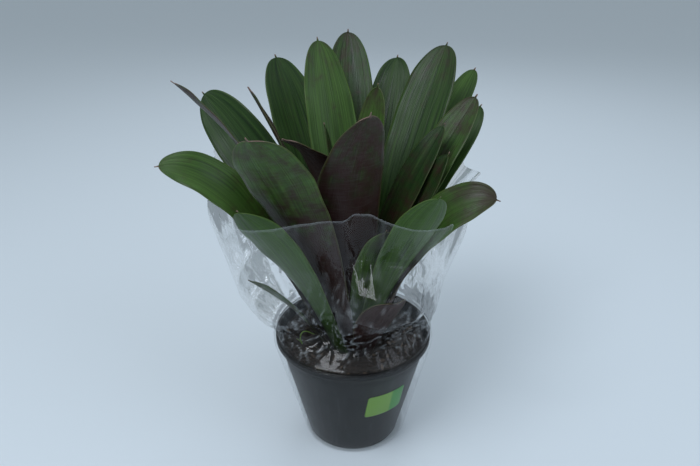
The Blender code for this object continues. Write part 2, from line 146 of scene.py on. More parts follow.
# The look of each leaf in the same order: how wine-coloured it is at the foot and at the
# tip, how light its green is, how blotched and how dry its end is (each 0 to 1), and how
# far its edges ripple (millimetres)
LEAF_LOOKS = [
    (0.55, 0.35, 0.10, 0.2, 0.2, 0.3),
    (0.10, 0.20, 0.70, 0.7, 0.1, 0.5),
    (0.98, 0.90, 0.05, 0.3, 0.9, 1.2),
    (0.25, 0.15, 0.55, 0.5, 0.3, 0.6),
    (0.60, 0.55, 0.15, 0.5, 0.9, 0.8),
    (0.70, 0.35, 0.10, 0.3, 0.2, 0.5),
    (1.00, 0.62, 0.15, 0.1, 0.8, 0.8),
    (0.95, 0.65, 0.05, 0.3, 0.2, 0.5),
    (0.60, 0.62, 0.15, 0.3, 0.9, 0.8),
    (0.35, 0.28, 0.15, 0.6, 0.3, 0.6),
    (0.70, 0.40, 0.10, 0.3, 0.3, 0.6),
    (0.30, 0.10, 0.75, 0.8, 0.2, 0.5),
    (0.25, 0.15, 0.20, 0.2, 0.3, 0.8),
    (0.45, 0.32, 0.40, 0.7, 0.4, 0.6),
    (0.98, 0.42, 0.55, 0.1, 0.7, 1.2),
    (0.20, 0.05, 0.60, 0.2, 0.1, 0.5),
    (0.25, 0.14, 0.20, 0.55, 0.2, 0.6),
    (0.25, 0.10, 0.15, 0.1, 0.3, 0.8),
    (0.25, 0.10, 0.25, 0.1, 0.3, 1.2),
    (0.95, 0.10, 0.50, 0.9, 0.5, 1.4),
    (0.15, 0.05, 0.55, 0.1, 0.2, 0.8),
    (0.25, 0.10, 0.25, 0.1, 0.1, 0.5),
    (0.25, 0.10, 0.20, 0.1, 0.4, 1.2),
    (0.20, 0.10, 0.50, 0.1, 0.5, 0.8),
    (0.75, 0.15, 0.50, 0.4, 0.6, 1.4),
    (0.25, 0.05, 0.15, 0.1, 0.1, 0.5),
    (0.95, 0.85, 0.05, 0.1, 0.2, 0.5),
    (0.55, 0.35, 0.30, 0.2, 0.4, 0.5),
    (0.25, 0.05, 0.15, 0.1, 0.1, 0.5),
    (0.25, 0.05, 0.15, 0.1, 0.1, 0.5),
]

# Film sleeve, as packed
FILM_FLOOR = 0.003  # height of its lower edge
FILM_STAND_OFF = 0.0025  # from the pot
FILM_NECK = 0.052  # radius of the pinched neck at the front
FILM_REACH = 0.024  # how far to each side the film feels a leaf
LEAF_CLEARANCE = 0.007  # between a leaf and the film
NECK_KNOT = 4
OVER_MOUTH = (19, 24)  # the leaves that lie over the sleeve's mouth

# Studio
FLOOR_HALF = 12.0
FLOOR_DROP = 0.0005  # below the pot's foot, so the two don't fight
WORLD_STRENGTH = 0.50
LIGHT_AIM = (0.0, 0.0, 0.25)
# Name, place, diameter (metres), power (watts) and colour of each soft light
LIGHTS = (
    ("key", (-0.9, -1.0, 2.3), 1.3, 26.0, "#f2f7ff"),
    ("fill", (1.6, -0.8, 1.6), 1.6, 9.0, "#e8f1ff"),
    ("rim", (0.3, 1.8, 1.9), 1.4, 9.0, "#eef5ff"),
)
CAMERA_PLACE = (-0.004, -0.706, 0.647)
CAMERA_TILT = 64.0  # degrees up from straight down
CAMERA_LENS = 31.89  # millimetres, on a sensor 36 mm wide

# Fineness of the new meshes
LEAF_ROWS = 64
LEAF_COLUMNS = 18
FILM_DIRECTIONS = 72  # places round the sleeve where the leaves are felt
FILM_COLUMNS = 288
FILM_LAYERS = 8  # finer rows for each row of the sleeve's outline
SOIL_RINGS = 46
TURNED_STEPS = 144
CLOUD_ROWS = 28
CLOUD_COLUMNS = 12


# ---------------------------------------------------------------- settings


def srgb(text):
    """Turns an sRGB hex colour to the linear values that a shader takes."""
    parts = [int(text[place : place + 2], 16) / 255 for place in (1, 3, 5)]
    return tuple(p / 12.92 if p <= 0.04045 else ((p + 0.055) / 1.055) ** 2.4 for p in parts)


def colour(name, description, default):
    return bpy.props.FloatVectorProperty(
        name=name,
        description=description,
        subtype="COLOR",
        size=3,
        min=0.0,
        max=1.0,
        default=srgb(default),
    )


def size(name, description, default, **limits):
    return bpy.props.FloatProperty(
        name=name, description=description, default=default, unit="LENGTH", **limits
    )


class BROMELIAD_PG_leaves(bpy.types.PropertyGroup):
    thickness: size("Thickness", "Thickness of a leaf blade", 0.0009, min=0.0002, max=0.003)
    rib_spacing: size(
        "Rib spacing", "Distance between the fine lengthwise ribs", 0.0013, min=0.0004, max=0.01
    )
    dark_green: colour("Dark green", "Upper side of an old leaf", "#1e3a16")
    light_green: colour("Light green", "Upper side of a young leaf", "#557a30")
    wine: colour("Wine", "Wine-coloured parts", "#35201c")
    dry: colour("Dry tip", "Papery dead tissue at the points", "#7d665c")


class BROMELIAD_PG_pot(bpy.types.PropertyGroup):
    plastic: colour("Plastic", "Moulded plastic of the pot", "#131314")
    soil: colour("Soil", "Damp peat between the bark", "#1c1612")
    bark: colour("Bark", "Bark chips", "#3a2c22")
    chips: bpy.props.IntProperty(
        name="Chips",
        description="How many bark chips lie on the soil",
        default=620,
        min=0,
        max=3000,
    )
    label: colour("Label", "Ground colour of the plain label", "#7fae3c")


class BROMELIAD_PG_film(bpy.types.PropertyGroup):
    crumple: size(
        "Crumple", "Height of the creases where the film is pinched", 0.0026, min=0.0, max=0.01
    )


class BROMELIAD_PG_stage(bpy.types.PropertyGroup):
    floor: colour("Floor", "Plain studio floor", "#dfe8ee")
    light: bpy.props.FloatProperty(
        name="Light", description="Strength of the studio light", default=1.0, min=0.0, max=10.0
    )


# ---------------------------------------------------------------- helpers


def smooth_step(low, high, value):
    part = min(1.0, max(0.0, (value - low) / (high - low)))
    return part * part * (3.0 - 2.0 * part)


def add(tree, kind, inputs=None, **settings):
    """Adds a shader node: its settings by name, and its inputs by name or number as values or
    links."""
    node = tree.nodes.new("ShaderNode" + kind)
    for name, value in settings.items():
        setattr(node, name, value)
    for socket, value in (inputs or {}).items():
        if isinstance(value, bpy.types.NodeSocket):
            tree.links.new(value, node.inputs[socket])
        else:
            node.inputs[socket].default_value = value
    return node


def blank(name):
    """A new material with only its output, and that output."""
    made = bpy.data.materials.new(name)
    made.use_nodes = True
    made.node_tree.nodes.clear()
    return made, made.node_tree, made.node_tree.nodes.new("ShaderNodeOutputMaterial")


def rgba(value):
    return (*(srgb(value) if isinstance(value, str) else value), 1.0)


def finish_piece(name, mesh, materials, replaced=()):
    """Puts a mesh in the scene as a piece that rides on the body and stands for its solids."""
    piece = bpy.data.objects.new(name, mesh)
    bpy.context.scene.collection.objects.link(piece)
    for material in materials:
        mesh.materials.append(material)
    if replaced:
        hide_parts(*replaced)
    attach(piece, BODY)
    return piece


def to_mesh(name, shape, smooth=True):
    mesh = bpy.data.meshes.new(name)
    shape.to_mesh(mesh)
    shape.free()
    mesh.polygons.foreach_set("use_smooth", [smooth] * len(mesh.polygons))
    return mesh


def spun(name, profile):
    """Turns a profile of (radius, height) points, from the axis to the axis, into a solid."""
    shape = bmesh.new()
    verts = [shape.verts.new((radius, 0.0, height)) for radius, height in profile]
    edges = [shape.edges.new(pair) for pair in zip(verts, verts[1:])]
    bmesh.ops.spin(
        shape,
        geom=verts + edges,
        cent=(0, 0, 0),
        axis=(0, 0, 1),
        angle=2 * pi,
        steps=TURNED_STEPS,
        use_merge=True,
    )
    bmesh.ops.remove_doubles(shape, verts=shape.verts, dist=0.00001)
    bmesh.ops.recalc_face_normals(shape, faces=shape.faces)
    return to_mesh(name, shape)


def applied(piece):
    """The piece's mesh with its modifiers applied."""
    return bpy.data.meshes.new_from_object(
        piece.evaluated_get(bpy.context.evaluated_depsgraph_get())
    )


# ---------------------------------------------------------------- materials


def leaf_material(name, under, settings):
    """Living leaf skin, waxy cuticle over green and wine-coloured cells. It gives soft broad
    highlights broken by fine lengthwise ribs. The look attribute holds wine, light green
    and blotch. The place attribute holds how near the edge, how far along and how dry."""
    made, tree, output = blank(name)
    look = add(tree, "Attribute", attribute_name="look")
    look = add(tree, "SeparateColor", {0: look.outputs["Color"]})
    wine, light, blotch = look.outputs
    place = add(tree, "Attribute", attribute_name="place")
    place = add(tree, "SeparateColor", {0: place.outputs["Color"]})
    edge, along, dry = place.outputs
    uv = add(tree, "UVMap", uv_map="blade")
    # ribs that run the length of the blade, so the pattern is 90 times longer than wide
    rib_scale = 1 / settings.rib_spacing
    stretched = add(tree, "Mapping", {0: uv.outputs[0], "Scale": (rib_scale, rib_scale / 90, 1.0)})
    ribs = add(tree, "TexNoise", {"Vector": stretched.outputs[0], "Scale": 1.0, "Detail": 2.0})
    # broader lengthwise bands about 6 mm wide
    banded = add(tree, "Mapping", {0: uv.outputs[0], "Scale": (165.0, 9.0, 1.0)})
    bands = add(tree, "TexNoise", {"Vector": banded.outputs[0], "Scale": 1.0, "Detail": 3.0})
    # clouds of pigment about 18 mm across
    clouds = add(
        tree, "TexNoise", {"Vector": uv.outputs[0], "Scale": 55.0, "Detail": 5.0, "Roughness": 0.6}
    )
    fine = add(tree, "TexNoise", {"Vector": uv.outputs[0], "Scale": 420.0, "Detail": 3.0})

    # green: dark to light by the leaf and its bands
    lift = add(tree, "Math", {0: bands.outputs[0], 1: 0.9, 2: -0.45}, operation="MULTIPLY_ADD")
    lift = add(tree, "Math", {0: light, 1: lift.outputs[0]}, operation="ADD", use_clamp=True)
    green = add(
        tree,
        "Mix",
        {0: lift.outputs[0], 6: rgba(settings.dark_green), 7: rgba(settings.light_green)},
        data_type="RGBA",
    )
    # painted shade: the green is darkened to half in the furrows between the ribs, where the rib
    # relief is lowest
    furrow_shade = add(tree, "MapRange", {0: ribs.outputs[0], 1: 0.35, 2: 0.62, 3: 0.5, 4: 1.0})
    green = add(
        tree,
        "Mix",
        {0: 1.0, 6: green.outputs[2], 7: furrow_shade.outputs[0]},
        data_type="RGBA",
        blend_type="MULTIPLY",
    )
    # each layer over the green, from the first to the last, is its share and its colour
    layers = []
    # wine, uneven in clouds
    uneven = add(tree, "Math", {0: clouds.outputs[0], 1: 1.1, 2: -0.55}, operation="MULTIPLY_ADD")
    stain = add(tree, "Math", {0: wine, 1: uneven.outputs[0]}, operation="ADD")
    stain = add(
        tree,
        "MapRange",
        {0: stain.outputs[0], 1: 0.22, 2: 0.78, 3: 0.0, 4: 1.0},
        interpolation_type="SMOOTHSTEP",
    )
    layers.append((stain, settings.wine))
    # brown-purple blotches near the tip
    near_tip = add(tree, "MapRange", {0: along, 1: 0.62, 2: 1.0, 3: 0.0, 4: 1.0})
    spots = add(tree, "Math", {0: near_tip.outputs[0], 1: blotch}, operation="MULTIPLY")
    spots = add(tree, "Math", {0: spots.outputs[0], 1: uneven.outputs[0]}, operation="ADD")
    spots = add(
        tree,
        "MapRange",
        {0: spots.outputs[0], 1: 0.25, 2: 0.90, 3: 0.0, 4: 0.85},
        interpolation_type="SMOOTHSTEP",
    )
    layers.append((spots, "#3a2a26"))
    # paler, yellower margin over the last 7 hundredths of the half width
    margin = add(tree, "MapRange", {0: edge, 1: 0.93, 2: 1.0, 3: 0.0, 4: 0.22})
    layers.append((margin, "#6b7a3a"))
    if under:
        # the underside carries grey scurf, fine pale scales in cross bands
        crossed = add(tree, "Mapping", {0: uv.outputs[0], "Scale": (60.0, 380.0, 1.0)})
        scurf = add(tree, "TexNoise", {"Vector": crossed.outputs[0], "Scale": 1.0, "Detail": 4.0})
        scurf = add(tree, "MapRange", {0: scurf.outputs[0], 1: 0.45, 2: 0.75, 3: 0.0, 4: 0.07})
        layers.append((scurf, "#8f9292"))
    # dead, papery tissue at the point
    ragged = add(tree, "Math", {0: fine.outputs[0], 1: 0.5, 2: -0.25}, operation="MULTIPLY_ADD")
    papery = add(tree, "Math", {0: dry, 1: ragged.outputs[0]}, operation="ADD")
    papery = add(tree, "MapRange", {0: papery.outputs[0], 1: 0.45, 2: 0.8, 3: 0.0, 4: 1.0})
    layers.append((papery, settings.dry))
    skin = green
    for share, tone in layers:
        skin = add(
            tree,
            "Mix",
            {0: share.outputs[0], 6: skin.outputs[2], 7: rgba(tone)},
            data_type="RGBA",
        )

    relief = add(
        tree, "Math", {0: ribs.outputs[0], 1: 0.7, 2: bands.outputs[0]}, operation="MULTIPLY_ADD"
    )
    bump = add(tree, "Bump", {"Strength": 0.5, "Distance": 0.0012, "Height": relief.outputs[0]})
    gloss = add(tree, "MapRange", {0: bands.outputs[0], 1: 0.3, 2: 0.7, 3: 0.30, 4: 0.48})
    shader = add(
        tree,
        "BsdfPrincipled",
        {
            "Base Color": skin.outputs[2],
            "Roughness": gloss.outputs[0],
            "Normal": bump.outputs[0],
            "Specular IOR Level": 0.28,
        },
    )
    tree.links.new(shader.outputs[0], output.inputs[0])
    return made


def pot_material(settings):
    """Injection-moulded polypropylene, black. It has a soft sheen with a faint orange-peel
    texture and dusty scuffs."""
    made, tree, output = blank("moulded black polypropylene")
    coords = add(tree, "TexCoord")
    dust = add(
        tree,
        "TexNoise",
        {"Vector": coords.outputs["Object"], "Scale": 22.0, "Detail": 6.0, "Roughness": 0.65},
    )
    dust = add(tree, "MapRange", {0: dust.outputs[0], 1: 0.45, 2: 0.8, 3: 0.0, 4: 0.05})
    skin = add(
        tree,
        "Mix",
        {0: dust.outputs[0], 6: rgba(settings.plastic), 7: rgba("#8a8378")},
        data_type="RGBA",
    )
    # orange peel about 0.7 mm across
    peel = add(
        tree, "TexNoise", {"Vector": coords.outputs["Object"], "Scale": 1400.0, "Detail": 1.0}
    )
    bump = add(tree, "Bump", {"Strength": 0.03, "Distance": 0.0002, "Height": peel.outputs[0]})
    worn = add(tree, "MapRange", {0: dust.outputs[0], 1: 0.0, 2: 0.05, 3: 0.34, 4: 0.5})
    shader = add(
        tree,
        "BsdfPrincipled",
        {
            "Base Color": skin.outputs[2],
            "Roughness": worn.outputs[0],
            "Normal": bump.outputs[0],
            "Specular IOR Level": 0.22,
        },
    )
    tree.links.new(shader.outputs[0], output.inputs[0])
    return made


def soil_material(settings):
    """Damp peat: dark, matt and crumbly, with paler fibres."""
    made, tree, output = blank("damp peat")
    coords = add(tree, "TexCoord")
    # crumbs 1 to 3 mm across
    crumbs = add(
        tree,
        "TexNoise",
        {"Vector": coords.outputs["Object"], "Scale": 380.0, "Detail": 6.0, "Roughness": 0.7},
    )
    tone = add(tree, "MapRange", {0: crumbs.outputs[0], 1: 0.4, 2: 0.75, 3: 0.0, 4: 0.8})
    skin = add(
        tree,
        "Mix",
        {0: tone.outputs[0], 6: rgba(settings.soil), 7: rgba("#43352a")},
        data_type="RGBA",
    )
    bump = add(tree, "Bump", {"Strength": 0.9, "Distance": 0.0015, "Height": crumbs.outputs[0]})
    shader = add(
        tree,
        "BsdfPrincipled",
        {"Base Color": skin.outputs[2], "Roughness": 0.75, "Normal": bump.outputs[0]},
    )
    tree.links.new(shader.outputs[0], output.inputs[0])
    return made


def bark_material(settings):
    """Shredded pine bark: brown chips of many tones, some greyed, with a fibrous face."""
    made, tree, output = blank("shredded bark")
    tint = add(tree, "Attribute", attribute_name="tint")
    tint = add(tree, "SeparateColor", {0: tint.outputs["Color"]})
    coords = add(tree, "TexCoord")
    grain = add(
        tree, "TexNoise", {"Vector": coords.outputs["Object"], "Scale": 700.0, "Detail": 4.0}
    )
    base = add(
        tree,
        "Mix",
        {0: tint.outputs[0], 6: rgba("#17110d"), 7: rgba(settings.bark)},
        data_type="RGBA",
    )
    base = add(
        tree, "Mix", {0: tint.outputs[1], 6: base.outputs[2], 7: rgba("#85705a")}, data_type="RGBA"
    )
    worn = add(tree, "MapRange", {0: grain.outputs[0], 1: 0.35, 2: 0.7, 3: 0.0, 4: 0.35})
    skin = add(
        tree, "Mix", {0: worn.outputs[0], 6: base.outputs[2], 7: rgba("#0f0b09")}, data_type="RGBA"
    )
    bump = add(tree, "Bump", {"Strength": 0.7, "Distance": 0.0006, "Height": grain.outputs[0]})
    shader = add(
        tree,
        "BsdfPrincipled",
        {"Base Color": skin.outputs[2], "Roughness": 0.62, "Normal": bump.outputs[0]},
    )
    tree.links.new(shader.outputs[0], output.inputs[0])
    return made


def film_material():
    """Cast polypropylene film, clear and very glossy. It is seen only by its reflections,
    a slight haze, and painted highlights: whitened lines along its sharpest creases and cut edges."""
    made, tree, output = blank("cast polypropylene film")
    crease_glint = add(tree, "Attribute", attribute_name="crease_glint")
    facing = add(tree, "LayerWeight", {"Blend": 0.35})
    coords = add(tree, "TexCoord")
    # slack ripples about 25 mm across, finer ones about 5 mm
    slack = add(
        tree, "TexNoise", {"Vector": coords.outputs["Object"], "Scale": 40.0, "Detail": 2.0}
    )
    fine = add(
        tree, "TexNoise", {"Vector": coords.outputs["Object"], "Scale": 210.0, "Detail": 2.0}
    )
    relief = add(
        tree, "Math", {0: fine.outputs[0], 1: 0.05, 2: slack.outputs[0]}, operation="MULTIPLY_ADD"
    )
    bump = add(tree, "Bump", {"Strength": 0.25, "Distance": 0.003, "Height": relief.outputs[0]})
    clear = add(tree, "BsdfTransparent", {"Color": (1.0, 1.0, 1.0, 1.0)})
    gloss = add(
        tree,
        "BsdfGlossy",
        {"Color": (1.0, 1.0, 1.0, 1.0), "Roughness": 0.07, "Normal": bump.outputs[0]},
    )
    haze = add(tree, "BsdfDiffuse", {"Color": rgba("#e8eef2")})
    fresnel = add(tree, "Fresnel", {"IOR": 1.49})
    shine = add(
        tree, "Math", {0: fresnel.outputs[0], 1: 0.55}, operation="MULTIPLY", use_clamp=True
    )
    milky = add(tree, "MapRange", {0: facing.outputs["Facing"], 1: 0.6, 2: 1.0, 3: 0.002, 4: 0.20})
    # painted highlight: the sharpest creases and the cut edges are whitened with the haze where the
    # crumpled film would glint; elsewhere it is the film's own slight haze, stronger at grazing
    # angles
    haze_and_glint = add(
        tree,
        "Math",
        {0: crease_glint.outputs["Fac"], 1: 0.30, 2: milky.outputs[0]},
        operation="MULTIPLY_ADD",
        use_clamp=True,
    )
    body = add(tree, "MixShader", {0: haze_and_glint.outputs[0], 1: clear.outputs[0], 2: haze.outputs[0]})
    shader = add(tree, "MixShader", {0: shine.outputs[0], 1: body.outputs[0], 2: gloss.outputs[0]})
    tree.links.new(shader.outputs[0], output.inputs[0])
    return made


def label_material(settings):
    """Printed coated paper: flat inks under a thin gloss, a yellow-green ground with a
    deeper green side."""
    made, tree, output = blank("printed coated paper")
    uv = add(tree, "UVMap", uv_map="face")
    place = add(tree, "SeparateXYZ", {0: uv.outputs[0]})
    side = add(tree, "MapRange", {0: place.outputs[0], 1: 0.60, 2: 0.66, 3: 0.0, 4: 1.0})
    ink = add(
        tree,
        "Mix",
        {0: side.outputs[0], 6: rgba(settings.label), 7: rgba("#3f9a35")},
        data_type="RGBA",
    )
    shader = add(tree, "BsdfPrincipled", {"Base Color": ink.outputs[2], "Roughness": 0.32})
    tree.links.new(shader.outputs[0], output.inputs[0])
    return made


def seedling_material():
    """Soft young shoot: bright yellow-green, slightly waxy."""
    made, tree, output = blank("young shoot")
    coords = add(tree, "TexCoord")
    mottle = add(
        tree, "TexNoise", {"Vector": coords.outputs["Object"], "Scale": 300.0, "Detail": 3.0}
    )
    skin = add(
        tree,
        "Mix",
        {0: mottle.outputs[0], 6: rgba("#5f8a2c"), 7: rgba("#8fb24a")},
        data_type="RGBA",
    )
    shader = add(tree, "BsdfPrincipled", {"Base Color": skin.outputs[2], "Roughness": 0.45})
    tree.links.new(shader.outputs[0], output.inputs[0])
    return made


def stem_material():
    """Short woody stem, pale green and fibrous."""
    made, tree, output = blank("fibrous stem")
    coords = add(tree, "TexCoord")
    fibres = add(tree, "Mapping", {0: coords.outputs["Object"], "Scale": (900.0, 900.0, 90.0)})
    fibres = add(tree, "TexNoise", {"Vector": fibres.outputs[0], "Scale": 1.0, "Detail": 3.0})
    skin = add(
        tree,
        "Mix",
        {0: fibres.outputs[0], 6: rgba("#4d5a30"), 7: rgba("#8a8f5a")},
        data_type="RGBA",
    )
    bump = add(tree, "Bump", {"Strength": 0.4, "Distance": 0.0004, "Height": fibres.outputs[0]})
    shader = add(
        tree,
        "BsdfPrincipled",
        {"Base Color": skin.outputs[2], "Roughness": 0.6, "Normal": bump.outputs[0]},
    )
    tree.links.new(shader.outputs[0], output.inputs[0])
    return made


# ---------------------------------------------------------------- leaves


def soil_top():
    return POT_HEIGHT - SOIL_DROP


def well_floor():
    return soil_top() - WELL_DEPTH


def leaf_base_radius(index):
    return STEM_DIAMETER / 2 + GAP + LEAF_THICKNESS + index * LEAF_PITCH


def half_width(share, length, width, widest):
    """From the wrapped base to the widest place, round the end and on to the small point."""
    full = width / 2
    end = 1.0 - POINT_LENGTH / length
    if share < widest:
        rise = smooth_step(0.0, widest, share)
        return full * (SHEATH_SHARE + (1.0 - SHEATH_SHARE) * rise)
    along = min(1.0, (share - widest) / (end - widest))
    body = full * sqrt(max(0.0, 1.0 - along**2.6))
    point = POINT_HALF_WIDTH * min(1.0, 0.2 + 0.8 * (1.0 - share) / (1.0 - end))
    return max(body, point)


def leaf_path(index, row):
    """The midrib as (upright radius and height, free point, tangent, across) by steps."""
    direction, length, _, lean, late, swing, _, curl, _, _ = row
    first = FIRST_LEAN + LEAN_STEP * index
    radius, height = leaf_base_radius(index), well_floor() + GAP
    heading = radians(direction)
    free = Vector((radius * cos(heading), radius * sin(heading), height))
    step = length / PATH_STEPS
    stations = []
    for count in range(PATH_STEPS + 1):
        share = count / PATH_STEPS
        angle = first + (lean - first) * share**late + curl * smooth_step(0.72, 1.0, share)
        turned_by = heading + radians(swing) * smooth_step(0.15, 1.0, share)
        tilt = radians(angle)
        tangent = Vector((sin(tilt) * cos(turned_by), sin(tilt) * sin(turned_by), cos(tilt)))
        across = Vector((-sin(turned_by), cos(turned_by), 0.0))
        stations.append((radius, height, free.copy(), tangent, across))
        radius += step * sin(tilt)
        height += step * cos(tilt)
        free += step * tangent
    return stations


def between(stations, share):
    """The station at a share of the leaf's length, mixed from the two beside it."""
    place_along = min(share, 1.0) * (len(stations) - 1)
    low = min(int(place_along), len(stations) - 2)
    mix = place_along - low
    first, second = stations[low], stations[low + 1]
    mixed = [a + (b - a) * mix for a, b in zip(first, second)]
    return (*mixed[:3], mixed[3].normalized(), mixed[4].normalized())


def leaf_point(row, stations, side, share, ripple=0.0, phase=0.0):
    """A point of the blade: side runs from -1 to 1 across it and share from 0 to 1 along.
    Ripple lifts the edges in gentle waves and presses a shallow channel along the midrib."""
    direction, length, width, _, _, _, twist, _, cup, widest = row
    radius, height, free, tangent, across = between(stations, share)
    half = half_width(share, length, width, widest)
    wrap = min(half / radius, WIDEST_WRAP) * side + radians(direction)
    wrapped = Vector((radius * cos(wrap), radius * sin(wrap), height))
    turn = Matrix.Rotation(radians(twist) * smooth_step(0.25, 0.95, share), 3, tangent)
    sideways = turn @ across
    inward = tangent.cross(sideways)
    bow = max(radians(cup), half / radius)
    reach = half / bow
    strap = free + sideways * (reach * sin(bow * side)) + inward * (reach * (1 - cos(bow * side)))
    point = wrapped.lerp(strap, smooth_step(SHEATH_END, BLADE_START, share))
    if ripple:
        loose = smooth_step(0.45, 0.85, share)
        # two waves, about 52 and 94 mm long, out of step between the two edges
        wave = sin(share * length * 120 + phase + (1.7 if side > 0 else 0.0))
        wave += 0.6 * sin(share * length * 67 + 2.1 * phase)
        channel = -0.35 * (1.0 - smooth_step(0.0, 0.28, abs(side)))
        point = point + inward * ((ripple * wave * side * side + channel * 0.001) * loose)
    return point


def share_along(value, length):
    """Spreads the rows along a leaf, closer together near its rounded end."""
    end = 1.0 - POINT_LENGTH / length
    rows = value * LEAF_ROWS / (LEAF_ROWS - 3)
    if rows < 1.0:
        return end * (1.0 - (1.0 - rows) ** 1.5)
    return end + (1.0 - end) * (rows - 1.0) * (LEAF_ROWS - 3) / 3


def make_leaf(index, row, look, materials, settings):
    """One blade on its packed path, with its look and place written on each point."""
    wine_foot, wine_tip, light, blotch, dry, ripple = look
    length, width = row[1], row[2]
    stations = leaf_path(index, row)
    shape = bmesh.new()
    bmesh.ops.create_grid(shape, x_segments=LEAF_COLUMNS, y_segments=LEAF_ROWS, size=1.0)
    uv = shape.loops.layers.uv.new("blade")
    look_layer = shape.verts.layers.float_color.new("look")
    place_layer = shape.verts.layers.float_color.new("place")
    where = {}
    for vertex in shape.verts:
        side, share = vertex.co.x, share_along(vertex.co.y / 2 + 0.5, length)
        where[vertex] = (side, share)
        vertex.co = leaf_point(row, stations, side, share, ripple * 0.001, phase=index * 1.9)
        wine = wine_foot + (wine_tip - wine_foot) * smooth_step(0.25, 0.9, share)
        vertex[look_layer] = (wine, light, blotch, 1.0)
        dryness = dry * smooth_step(0.955, 1.0, share) + 0.55 * smooth_step(0.985, 1.0, share)
        dryness += dry * 0.45 * smooth_step(0.93, 1.0, abs(side)) * smooth_step(0.8, 0.97, share)
        vertex[place_layer] = (abs(side), share, dryness, 1.0)
    for face in shape.faces:
        for loop in face.loops:
            side, share = where[loop.vert]
            loop[uv].uv = (side * width / 2 + index * 0.37, share * length)
    mesh = to_mesh(f"leaf_blade_{index + 1:02d}", shape)
    leaf = finish_piece(
        f"leaf_blade_{index + 1:02d}", mesh, materials, [f"leaf_{index + 1:02d}"]
    )
    skin = leaf.modifiers.new("thickness", "SOLIDIFY")
    skin.thickness = settings.thickness
    skin.offset = 0.0
    skin.use_even_offset = False
    skin.material_offset = 1


class BROMELIAD_OT_leaves(bpy.types.Operator):
    """Build every leaf as a fine blade with ribs, rippled edges and its own colours"""

    bl_idname = "bromeliad.leaves"
    bl_label = "Leaves"

    def execute(self, context):
        settings = context.scene.bromeliad_leaves
        materials = [
            leaf_material("leaf skin, under side", True, settings),
            leaf_material("leaf skin, upper side", False, settings),
        ]
        for index, (row, look) in enumerate(zip(LEAVES, LEAF_LOOKS, strict=True)):
            make_leaf(index, row, look, materials, settings)
        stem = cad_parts["stem"]
        stem.data.materials.clear()
        stem.data.materials.append(stem_material())
        return {"FINISHED"}


# ---------------------------------------------------------------- pot, label, soil, seedling


def lip_radius():
    """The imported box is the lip's outside."""
    return (POT_HIGH[0] - POT_LOW[0]) / 2


def outer_wall_radius(height):
    top = lip_radius() - LIP_PROUD
    return BASE_DIAMETER / 2 + (top - BASE_DIAMETER / 2) * height / POT_HEIGHT


def inner_wall_radius(height):
    return outer_wall_radius(height) - POT_WALL


def pot_profile():
    """Outside from the floor up, over the rolled lip and down the inside."""
    top, lip = POT_HEIGHT, POT_HEIGHT - LIP_HEIGHT
    outer = lip_radius()
    profile = [
        (0.0, 0.0012),
        (BASE_DIAMETER / 2 - 0.010, 0.0012),
        (BASE_DIAMETER / 2 - 0.009, 0.0),
        (BASE_DIAMETER / 2 - 0.002, 0.0),
        (BASE_DIAMETER / 2 - 0.0004, 0.0006),
        (outer_wall_radius(0.002), 0.002),
    ]
    for step in range(1, 12):
        height = 0.002 + (lip - 0.004) * step / 12
        profile.append((outer_wall_radius(height), height))
    under = outer_wall_radius(lip)
    profile += [
        (under, lip - 0.0006),
        (under + 0.0006, lip),
        (outer - 0.0010, lip),
        (outer - 0.0002, lip + 0.0006),
    ]
    for step in range(7):
        turn = pi / 2 * step / 6
        profile.append((outer - 0.0022 + 0.0022 * cos(turn), top - 0.0022 + 0.0022 * sin(turn)))
    inner = inner_wall_radius(top)
    profile += [(inner + 0.0012, top), (inner + 0.0003, top - 0.0004), (inner, top - 0.0012)]
    for step in range(1, 10):
        height = top - (top - POT_WALL - 0.002) * step / 9
        profile.append((inner_wall_radius(height), height))
    profile += [(inner_wall_radius(POT_WALL) - 0.002, POT_WALL), (0.0, POT_WALL)]
    return profile


def drilled(piece):
    """The pot's mesh with its drain holes cut through the floor."""
    cutters = []
    for index in range(DRAIN_HOLES):
        angle = 2 * pi * (index + 0.5) / DRAIN_HOLES
        shape = bmesh.new()
        bmesh.ops.create_cone(
            shape,
            cap_ends=True,
            segments=24,
            radius1=DRAIN_DIAMETER / 2,
            radius2=DRAIN_DIAMETER / 2,
            depth=POT_WALL * 4,
            matrix=Matrix.Translation(
                (DRAIN_CIRCLE / 2 * cos(angle), DRAIN_CIRCLE / 2 * sin(angle), POT_WALL / 2)
            ),
        )
        cutter = bpy.data.objects.new("drain cutter", to_mesh("drain cutter", shape, False))
        bpy.context.scene.collection.objects.link(cutter)
        cutters.append(cutter)
        cut = piece.modifiers.new("drain", "BOOLEAN")
        cut.operation = "DIFFERENCE"
        cut.solver = "EXACT"
        cut.object = cutter
    bpy.context.view_layer.update()
    mesh = applied(piece)
    piece.modifiers.clear()
    for cutter in cutters:
        bpy.data.objects.remove(cutter, do_unlink=True)
    return mesh


